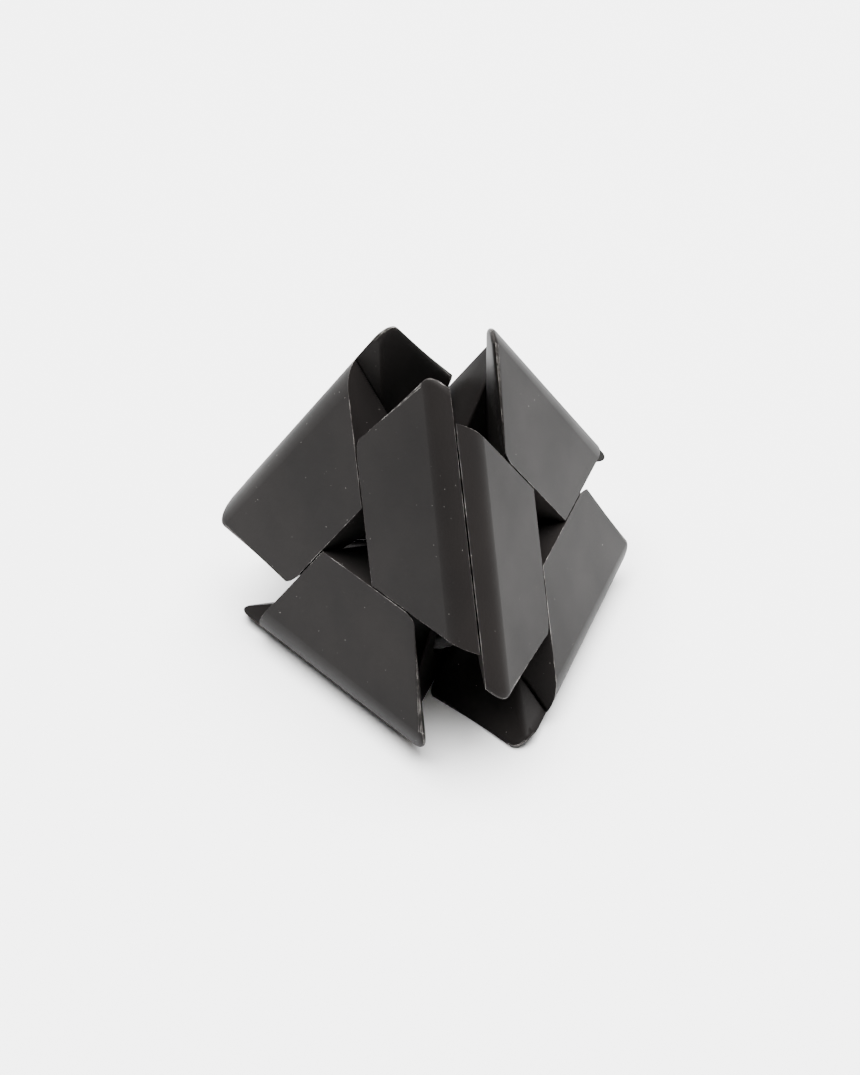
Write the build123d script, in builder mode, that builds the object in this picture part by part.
from build123d import *
import math
import os

# A folding ball of twelve like wedges on one elastic cord. Closed, the wedges
# make a tetrahedron with rounded edges: three on each face, set round a
# three-sided hole, and two back to back on each edge. Millimetres. Z is up,
# and the origin is the ball's centre.

# Driving dimensions
SHORT_SIDE = 22.0                       # short side of a wedge's outer face
HOLE_SIDE = 0.54 * SHORT_SIDE           # side of the three-sided hole in a face
FACE_HEIGHT = 0.857 * SHORT_SIDE        # ball's centre to each face
CREST_RADIUS = 0.25 * SHORT_SIDE        # rounding of the ball's six edges
WALL_GAP = 0.30                         # between the walls of two wedges
CORNER_RADIUS = 1.6                     # corner where short wall meets end wall
EDGE_RADIUS = 0.22                      # softening of the outer face's cut edges

CORD_DIAMETER = 2.0
CHANNEL_DIAMETER = 2.2
CHANNEL_BEND = 2.5                      # bend radius of the channel's middle
MOUTH_DIAMETER = 3.2                    # the channel is wider at its mouths
MOUTH_DEPTH = 0.8                       # middle of the wall to the mouth's step
CROSSING_DEPTH = 0.28 * SHORT_SIDE      # below the face, on the hole's walls
CROSSING_HEIGHT = 0.78 * SHORT_SIDE     # from the ball's centre, on the seams
CHANNEL_MIDDLE = Vector(1.5, -12.5, -5.5)    # corner of the channel's middle line
OVERRUN = 3.0                           # length past a wall, cut off again

PLUG_DIAMETER = 4.6
PLUG_LENGTH = 1.6
FERRULE_DIAMETER = 3.4
FERRULE_LENGTH = 4.0
FERRULE_BORE = CORD_DIAMETER + 0.04
POCKET_CLEARANCE = 0.05                 # round each ferrule and plug
END_DEPTH = PLUG_LENGTH + 0.6           # wall to the cord's end, along the channel

HALF_GAP = WALL_GAP / 2
HOLE_WALL = HOLE_SIDE / (2 * math.sqrt(3))   # face's middle to a wall of its hole
SHARP_EDGE = math.sqrt(2) * FACE_HEIGHT      # face's middle to the ball's sharp edge
SEAM_TILT = math.atan(1 / math.sqrt(2))      # seam wall to outer face
REACH = 4 * SHORT_SIDE                       # longer than any wedge
PINWHEEL = 120                               # turn from one wedge to the next
TOP = Vector(0, 0, 1)


def side_face(azimuth):
    """Plane of a face that leans back over the one the ball rests on, X up it."""
    lean = math.asin(1 / 3)
    turn = math.radians(azimuth)
    level = Vector(math.cos(turn), math.sin(turn), 0)
    outward = level * math.cos(lean) + TOP * math.sin(lean)
    upward = TOP - outward * outward.dot(TOP)
    return Plane(origin=outward * FACE_HEIGHT, x_dir=upward, z_dir=outward)


def spun(plane, angle):
    """A plane turned in itself about its own Z."""
    return Plane(plane.location * Rotation(0, 0, angle))


REST_FACE = Plane(origin=TOP * -FACE_HEIGHT, x_dir=(1, 0, 0), z_dir=(0, 0, -1))

# Each face, turned so that its X runs to the long end of its first wedge
FACES = {
    "rest": spun(REST_FACE, PINWHEEL),
    "left": spun(side_face(210), 30),
    "right": spun(side_face(330), 30),
    "back": spun(side_face(90), 30),
}

# The wedges in their order along the cord: face, place on the face, and the
# walls that the cord comes in and goes out by
CHAIN = [
    ("rest", 0, "tip", "short"),
    ("rest", 1, "tip", "short"),
    ("rest", 2, "tip", "seam"),
    ("back", 2, "seam", "short"),
    ("back", 0, "tip", "short"),
    ("back", 1, "tip", "seam"),
    ("right", 0, "seam", "tip"),
    ("right", 2, "short", "tip"),
    ("right", 1, "short", "seam"),
    ("left", 0, "seam", "tip"),
    ("left", 2, "short", "tip"),
    ("left", 1, "short", "tip"),
]

# A wedge is drawn on its own face, with X to its long end and Z out of the ball.
# Where the cord crosses each wall:
SHORT_CROSSING = Vector(SHORT_SIDE / 2, -HOLE_WALL, -CROSSING_DEPTH)
CROSSINGS = {
    "short": SHORT_CROSSING,
    "tip": SHORT_CROSSING.rotate(Axis.Z, -PINWHEEL),
    "seam": Vector(
        0,
        -CROSSING_HEIGHT * math.cos(SEAM_TILT),
        CROSSING_HEIGHT * math.sin(SEAM_TILT) - FACE_HEIGHT,
    ),
}

# Outward normals of the walls
TIP_NORMAL = Vector(0, -1, 0).rotate(Axis.Z, -PINWHEEL)
END_LEVEL = Vector(0, 1, 0).rotate(Axis.Z, -PINWHEEL / 2)
NORMALS = {
    "short": Vector(0, 1, 0),
    "tip": TIP_NORMAL,
    "seam": Vector(0, -math.sin(SEAM_TILT), -math.cos(SEAM_TILT)),
    "end": END_LEVEL * math.sin(SEAM_TILT) - Vector(0, 0, math.cos(SEAM_TILT)),
}
END_CORNER = Vector(SHORT_SIDE - HOLE_SIDE / 2, -HOLE_WALL, 0)


def wall(name):
    """Plane of a wedge's wall, facing out of the wedge."""
    if name == "end":
        return Plane(origin=END_CORNER, z_dir=NORMALS[name])
    origin = CROSSINGS[name] - NORMALS[name] * HALF_GAP
    return Plane(origin=origin, z_dir=NORMALS[name])


def leg(name):
    """Plane across the channel where it meets a wall, facing out of the wedge."""
    return Plane(origin=CROSSINGS[name], z_dir=CROSSINGS[name] - CHANNEL_MIDDLE)


def route(start, finish):
    """Corners of the channel's middle line, from outside one wall to the other."""
    return [leg(start).offset(OVERRUN).origin, CHANNEL_MIDDLE, leg(finish).offset(OVERRUN).origin]


def make_wedge(start, finish, end_wall):
    """One wedge: a rounded bar cut to its walls, with the cord's channel in it."""
    seam_lift = HALF_GAP / math.cos(SEAM_TILT)
    crest_middle = Vector(math.sqrt(2) * CREST_RADIUS - SHARP_EDGE, -CREST_RADIUS)
    # The crest's arc runs from the face round to the seam wall
    arc_end = 180 - math.degrees(SEAM_TILT + math.asin(HALF_GAP / CREST_RADIUS))
    arc = [
        crest_middle + Vector(CREST_RADIUS, 0).rotate(Axis.Z, angle)
        for angle in (90, (90 + arc_end) / 2, arc_end)
    ]
    short_y = -HOLE_WALL - HALF_GAP
    inner_z = seam_lift - (SHARP_EDGE + short_y) / math.sqrt(2)
    with BuildPart() as wedge:
        with BuildSketch(Plane.YZ):
            with BuildLine():
                Line((short_y, 0), arc[0])
                ThreePointArc(*arc)
                Polyline(arc[2], (short_y, inner_z), (short_y, 0))
            make_face()
        extrude(amount=REACH, both=True)
        split(bisect_by=wall("tip"), keep=Keep.BOTTOM)
        split(bisect_by=wall("end"), keep=Keep.BOTTOM)
        with BuildLine() as middle_line:
            FilletPolyline(*route(start, finish), radius=CHANNEL_BEND)
        with BuildSketch(middle_line.line ^ 0):
            Circle(CHANNEL_DIAMETER / 2)
        sweep(path=middle_line.line, mode=Mode.SUBTRACT)
        for name in (start, finish):
            with BuildSketch(leg(name).offset(OVERRUN)):
                Circle(MOUTH_DIAMETER / 2)
            extrude(amount=-OVERRUN - MOUTH_DEPTH, mode=Mode.SUBTRACT)
        if end_wall:
            depth = END_DEPTH + FERRULE_LENGTH + POCKET_CLEARANCE
            with BuildSketch(leg(end_wall).offset(OVERRUN)):
                Circle(FERRULE_DIAMETER / 2 + POCKET_CLEARANCE)
            extrude(amount=-OVERRUN - depth, mode=Mode.SUBTRACT)
            with BuildSketch(leg(end_wall).offset(OVERRUN)):
                Circle(PLUG_DIAMETER / 2 + POCKET_CLEARANCE)
            extrude(amount=-OVERRUN - PLUG_LENGTH, mode=Mode.SUBTRACT)
        corner = Axis((0, 0, 0), NORMALS["short"].cross(NORMALS["end"]))
        fillet(wedge.edges().filter_by(corner), CORNER_RADIUS)
        face_rim = wedge.faces().sort_by(Axis.Z)[-1].edges()
        crest = wedge.faces().filter_by(GeomType.CYLINDER).sort_by(SortBy.AREA)[-1]
        crest_rim = crest.edges()
        cut_edges = [edge for edge in face_rim if edge not in crest_rim]
        cut_edges += [edge for edge in crest_rim if edge not in face_rim]
        fillet(cut_edges, EDGE_RADIUS)
    return wedge.part


def make_cord(start, finish, end_wall):
    """The stretch of cord inside one wedge, flush with the walls it crosses."""
    with BuildPart() as cord:
        with BuildLine() as middle_line:
            FilletPolyline(*route(start, finish), radius=CHANNEL_BEND)
        with BuildSketch(middle_line.line ^ 0):
            Circle(CORD_DIAMETER / 2)
        sweep(path=middle_line.line)
        for name in (start, finish):
            if name == end_wall:
                split(bisect_by=leg(name).offset(-END_DEPTH), keep=Keep.BOTTOM)
            else:
                split(bisect_by=wall(name), keep=Keep.BOTTOM)
    return cord.part


def make_ferrule(end_wall):
    """The sleeve crimped on an end of the cord."""
    with BuildPart() as ferrule:
        with BuildSketch(leg(end_wall).offset(-END_DEPTH)):
            Circle(FERRULE_DIAMETER / 2)
            Circle(FERRULE_BORE / 2, mode=Mode.SUBTRACT)
        extrude(amount=-FERRULE_LENGTH)
    return ferrule.part


def make_plug(end_wall):
    """The disc that closes the cord's end pocket, flush with its wall."""
    with BuildPart() as plug:
        with BuildSketch(leg(end_wall).offset(OVERRUN)):
            Circle(PLUG_DIAMETER / 2)
        extrude(amount=POCKET_CLEARANCE - OVERRUN - PLUG_LENGTH)
        split(bisect_by=wall(end_wall), keep=Keep.BOTTOM)
    return plug.part


def save(part, plane, name):
    """Set a piece in its place in the ball, label it and write it."""
    piece = part.moved(plane.location)
    piece.label = name
    export_step(piece, f"parts/{name}.step")


os.makedirs("parts", exist_ok=True)
ENDS = {1: "head", len(CHAIN): "tail"}           # both end in a tip wall

for number, (face, place, start, finish) in enumerate(CHAIN, start=1):
    plane = spun(FACES[face], PINWHEEL * place)
    end_wall = "tip" if number in ENDS else None
    save(make_wedge(start, finish, end_wall), plane, f"wedge_{number:02d}")
    save(make_cord(start, finish, end_wall), plane, f"cord_{number:02d}")
    if end_wall:
        save(make_ferrule(end_wall), plane, f"ferrule_{ENDS[number]}")
        save(make_plug(end_wall), plane, f"plug_{ENDS[number]}")
